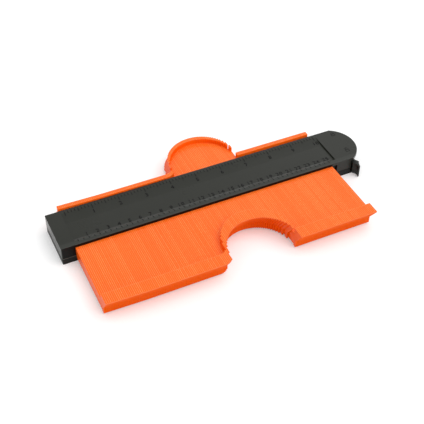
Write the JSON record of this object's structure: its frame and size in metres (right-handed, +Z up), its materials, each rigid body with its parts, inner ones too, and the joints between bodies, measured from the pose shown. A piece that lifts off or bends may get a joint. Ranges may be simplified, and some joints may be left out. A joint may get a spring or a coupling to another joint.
{
  "type": "contour gauge",
  "caption": "Contour gauge: a stack of thin sliding teeth in a dark ruled body copies an outline, and a cam lever at the round end locks the stack.",
  "frame": {"origin": "centre of the flat face that the base rests on", "axes": "+X along the body towards the round lever end, +Y from the long front heads to the rear heads, +Z up"},
  "size_m": [0.3057, 0.1782, 0.0218],
  "materials": {
    "upper_housing": "fine satin moulded texture",
    "lower_housing": "fine satin moulded texture",
    "teeth": "satin moulded plastic",
    "lock": "satin moulded plastic",
    "screw": "plain steel"
  },
  "bodies": {
    "housing": {"base_shell": "lower_housing", "top_cover": "upper_housing", "case_screws": "screw"},
    "lever": {"lock_lever": "lock"},
    "block": {"pressure_block": "lock"},
    "teeth_01": {"tooth_group_01": "teeth"},
    "teeth_02": {"tooth_group_02": "teeth"},
    "teeth_03": {"tooth_group_03": "teeth"},
    "teeth_04": {"tooth_group_04": "teeth"},
    "teeth_05": {"tooth_group_05": "teeth"},
    "teeth_06": {"tooth_group_06": "teeth"},
    "teeth_07": {"tooth_group_07": "teeth"},
    "teeth_08": {"tooth_group_08": "teeth"},
    "teeth_09": {"tooth_group_09": "teeth"},
    "teeth_10": {"tooth_group_10": "teeth"},
    "teeth_11": {"tooth_group_11": "teeth"},
    "teeth_12": {"tooth_group_12": "teeth"},
    "teeth_13": {"tooth_group_13": "teeth"},
    "teeth_14": {"tooth_group_14": "teeth"},
    "teeth_15": {"tooth_group_15": "teeth"},
    "teeth_16": {"tooth_group_16": "teeth"},
    "teeth_17": {"tooth_group_17": "teeth"},
    "teeth_18": {"tooth_group_18": "teeth"},
    "teeth_19": {"tooth_group_19": "teeth"},
    "teeth_20": {"tooth_group_20": "teeth"},
    "teeth_21": {"tooth_group_21": "teeth"},
    "teeth_22": {"tooth_group_22": "teeth"},
    "teeth_23": {"tooth_group_23": "teeth"},
    "teeth_24": {"tooth_group_24": "teeth"},
    "teeth_25": {"tooth_group_25": "teeth"},
    "teeth_26": {"tooth_group_26": "teeth"},
    "teeth_27": {"tooth_group_27": "teeth"},
    "teeth_28": {"tooth_group_28": "teeth"},
    "teeth_29": {"tooth_group_29": "teeth"},
    "teeth_30": {"tooth_group_30": "teeth"},
    "teeth_31": {"tooth_group_31": "teeth"},
    "teeth_32": {"tooth_group_32": "teeth"},
    "teeth_33": {"tooth_group_33": "teeth"},
    "teeth_34": {"tooth_group_34": "teeth"},
    "teeth_35": {"tooth_group_35": "teeth"},
    "teeth_36": {"tooth_group_36": "teeth"},
    "teeth_37": {"tooth_group_37": "teeth"},
    "teeth_38": {"tooth_group_38": "teeth"},
    "teeth_39": {"tooth_group_39": "teeth"},
    "teeth_40": {"tooth_group_40": "teeth"}
  },
  "joints": [
    {"name": "lever_turn", "type": "hinge", "parent": "housing", "child": "lever", "pos_m": [0.12647, 0, 0], "axis": [0, 0, 1], "range_deg": [0, 110]},
    {"name": "block_slide", "type": "slide", "parent": "housing", "child": "block", "axis": [-1, 0, 0], "range_m": [0, 0.000984]},
    {"name": "teeth_01_slide", "type": "slide", "parent": "housing", "child": "teeth_01", "axis": [0, 1, 0], "range_m": [-0.00087, 0.0639]},
    {"name": "teeth_02_slide", "type": "slide", "parent": "housing", "child": "teeth_02", "axis": [0, 1, 0], "range_m": [-0.00071, 0.06407]},
    {"name": "teeth_03_slide", "type": "slide", "parent": "housing", "child": "teeth_03", "axis": [0, 1, 0], "range_m": [-0.00054, 0.06424]},
    {"name": "teeth_04_slide", "type": "slide", "parent": "housing", "child": "teeth_04", "axis": [0, 1, 0], "range_m": [-0.00037, 0.06441]},
    {"name": "teeth_05_slide", "type": "slide", "parent": "housing", "child": "teeth_05", "axis": [0, 1, 0], "range_m": [-0.0002, 0.06457]},
    {"name": "teeth_06_slide", "type": "slide", "parent": "housing", "child": "teeth_06", "axis": [0, 1, 0], "range_m": [-0.00003, 0.06474]},
    {"name": "teeth_07_slide", "type": "slide", "parent": "housing", "child": "teeth_07", "axis": [0, 1, 0], "range_m": [0, 0.0649]},
    {"name": "teeth_08_slide", "type": "slide", "parent": "housing", "child": "teeth_08", "axis": [0, 1, 0], "range_m": [0, 0.0649]},
    {"name": "teeth_09_slide", "type": "slide", "parent": "housing", "child": "teeth_09", "axis": [0, 1, 0], "range_m": [0, 0.0649]},
    {"name": "teeth_10_slide", "type": "slide", "parent": "housing", "child": "teeth_10", "axis": [0, 1, 0], "range_m": [0, 0.0649]},
    {"name": "teeth_11_slide", "type": "slide", "parent": "housing", "child": "teeth_11", "axis": [0, 1, 0], "range_m": [0, 0.0649]},
    {"name": "teeth_12_slide", "type": "slide", "parent": "housing", "child": "teeth_12", "axis": [0, 1, 0], "range_m": [0, 0.0649]},
    {"name": "teeth_13_slide", "type": "slide", "parent": "housing", "child": "teeth_13", "axis": [0, 1, 0], "range_m": [0, 0.0649]},
    {"name": "teeth_14_slide", "type": "slide", "parent": "housing", "child": "teeth_14", "axis": [0, 1, 0], "range_m": [0, 0.0649]},
    {"name": "teeth_15_slide", "type": "slide", "parent": "housing", "child": "teeth_15", "axis": [0, 1, 0], "range_m": [0, 0.0649]},
    {"name": "teeth_16_slide", "type": "slide", "parent": "housing", "child": "teeth_16", "axis": [0, 1, 0], "range_m": [0, 0.0649]},
    {"name": "teeth_17_slide", "type": "slide", "parent": "housing", "child": "teeth_17", "axis": [0, 1, 0], "range_m": [0, 0.06467]},
    {"name": "teeth_18_slide", "type": "slide", "parent": "housing", "child": "teeth_18", "axis": [0, 1, 0], "range_m": [-0.00083, 0.0531]},
    {"name": "teeth_19_slide", "type": "slide", "parent": "housing", "child": "teeth_19", "axis": [0, 1, 0], "range_m": [-0.01885, 0.0371]},
    {"name": "teeth_20_slide", "type": "slide", "parent": "housing", "child": "teeth_20", "axis": [0, 1, 0], "range_m": [-0.02974, 0.03075]},
    {"name": "teeth_21_slide", "type": "slide", "parent": "housing", "child": "teeth_21", "axis": [0, 1, 0], "range_m": [-0.03527, 0.02702]},
    {"name": "teeth_22_slide", "type": "slide", "parent": "housing", "child": "teeth_22", "axis": [0, 1, 0], "range_m": [-0.03853, 0.02498]},
    {"name": "teeth_23_slide", "type": "slide", "parent": "housing", "child": "teeth_23", "axis": [0, 1, 0], "range_m": [-0.04021, 0.0243]},
    {"name": "teeth_24_slide", "type": "slide", "parent": "housing", "child": "teeth_24", "axis": [0, 1, 0], "range_m": [-0.04, 0.02433]},
    {"name": "teeth_25_slide", "type": "slide", "parent": "housing", "child": "teeth_25", "axis": [0, 1, 0], "range_m": [-0.03805, 0.02525]},
    {"name": "teeth_26_slide", "type": "slide", "parent": "housing", "child": "teeth_26", "axis": [0, 1, 0], "range_m": [-0.03444, 0.02758]},
    {"name": "teeth_27_slide", "type": "slide", "parent": "housing", "child": "teeth_27", "axis": [0, 1, 0], "range_m": [-0.02831, 0.03169]},
    {"name": "teeth_28_slide", "type": "slide", "parent": "housing", "child": "teeth_28", "axis": [0, 1, 0], "range_m": [-0.01441, 0.03879]},
    {"name": "teeth_29_slide", "type": "slide", "parent": "housing", "child": "teeth_29", "axis": [0, 1, 0], "range_m": [-0.0015, 0.0634]},
    {"name": "teeth_30_slide", "type": "slide", "parent": "housing", "child": "teeth_30", "axis": [0, 1, 0], "range_m": [-0.0015, 0.0634]},
    {"name": "teeth_31_slide", "type": "slide", "parent": "housing", "child": "teeth_31", "axis": [0, 1, 0], "range_m": [-0.0015, 0.0634]},
    {"name": "teeth_32_slide", "type": "slide", "parent": "housing", "child": "teeth_32", "axis": [0, 1, 0], "range_m": [-0.0015, 0.0634]},
    {"name": "teeth_33_slide", "type": "slide", "parent": "housing", "child": "teeth_33", "axis": [0, 1, 0], "range_m": [-0.0015, 0.0634]},
    {"name": "teeth_34_slide", "type": "slide", "parent": "housing", "child": "teeth_34", "axis": [0, 1, 0], "range_m": [-0.0015, 0.0634]},
    {"name": "teeth_35_slide", "type": "slide", "parent": "housing", "child": "teeth_35", "axis": [0, 1, 0], "range_m": [-0.0015, 0.0634]},
    {"name": "teeth_36_slide", "type": "slide", "parent": "housing", "child": "teeth_36", "axis": [0, 1, 0], "range_m": [-0.0015, 0.0634]},
    {"name": "teeth_37_slide", "type": "slide", "parent": "housing", "child": "teeth_37", "axis": [0, 1, 0], "range_m": [-0.0015, 0.0634]},
    {"name": "teeth_38_slide", "type": "slide", "parent": "housing", "child": "teeth_38", "axis": [0, 1, 0], "range_m": [-0.0015, 0.0634]},
    {"name": "teeth_39_slide", "type": "slide", "parent": "housing", "child": "teeth_39", "axis": [0, 1, 0], "range_m": [-0.0015, 0.0634]},
    {"name": "teeth_40_slide", "type": "slide", "parent": "housing", "child": "teeth_40", "axis": [0, 1, 0], "range_m": [-0.0015, 0.0634]}
  ],
  "couplings": [
    {"joint": "block_slide", "follows": "lever_turn", "m_per_rad": 0.00051201}
  ]
}
